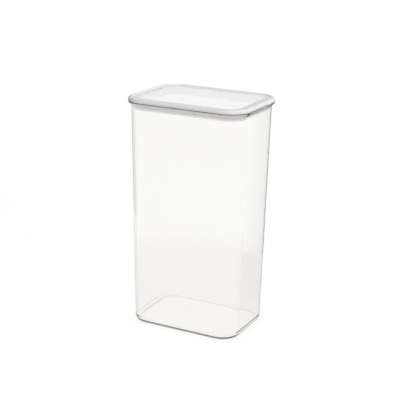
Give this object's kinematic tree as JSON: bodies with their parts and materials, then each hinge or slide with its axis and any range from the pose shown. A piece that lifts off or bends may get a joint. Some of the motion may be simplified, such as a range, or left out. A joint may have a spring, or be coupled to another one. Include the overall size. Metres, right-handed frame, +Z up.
{
  "type": "food canister",
  "caption": "Tall clear rectangular food canister with rounded corners, slightly slanted walls and a white-framed press-in lid with a clear window and a soft seal.",
  "frame": {"origin": "centre of the base, on the surface that the canister stands on", "axes": "+Z up out of the mouth, X along the long sides, Y through the depth; the pictured front faces -Y"},
  "size_m": [0.1456, 0.1082, 0.262],
  "materials": {
    "clear_body": "clear, moulded and polished",
    "white_frame": "white, moulded, satin",
    "clear_window": "clear, moulded and polished",
    "white_seal": "white silicone, soft and dull"
  },
  "bodies": {
    "container": {"body": "clear_body"},
    "lid": {"lid_frame": "white_frame", "lid_window": "clear_window", "gasket": "white_seal"}
  },
  "joints": [
    {"name": "lid_lift", "type": "slide", "parent": "container", "child": "lid", "axis": [0, 0, 1], "range_m": [0, 0.06]}
  ]
}
